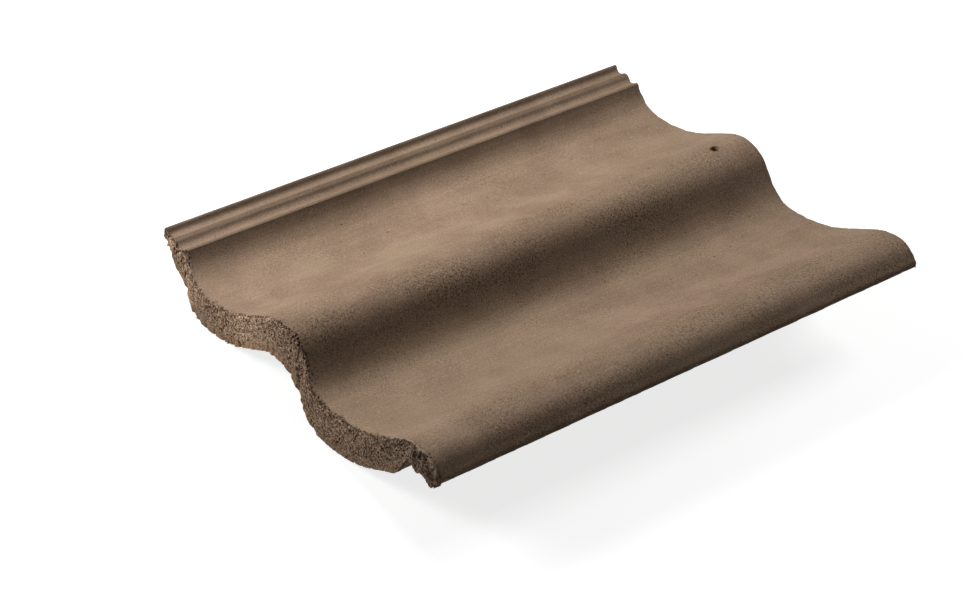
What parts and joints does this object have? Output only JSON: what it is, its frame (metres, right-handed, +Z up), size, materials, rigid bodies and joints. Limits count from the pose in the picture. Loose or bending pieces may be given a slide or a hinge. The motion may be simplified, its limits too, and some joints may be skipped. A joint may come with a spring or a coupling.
{
  "type": "interlocking roof tile",
  "caption": "Concrete interlocking roof tile with S-shaped rolls, ribbed side locks, a thick tail nose, hanging nibs and a nail hole.",
  "frame": {"origin": "middle of the tile's outline in plan, on the floor that it lies on", "axes": "+X across the tile from the underlock to the overlock, +Y along it from the tail to the head, +Z up through the weather face"},
  "size_m": [0.33, 0.42, 0.0635],
  "materials": {
    "concrete": "brown through-coloured concrete, smooth slurried face, open-grained cut tail"
  },
  "bodies": {
    "root": {"roof_tile": "concrete"}
  },
  "joints": []
}
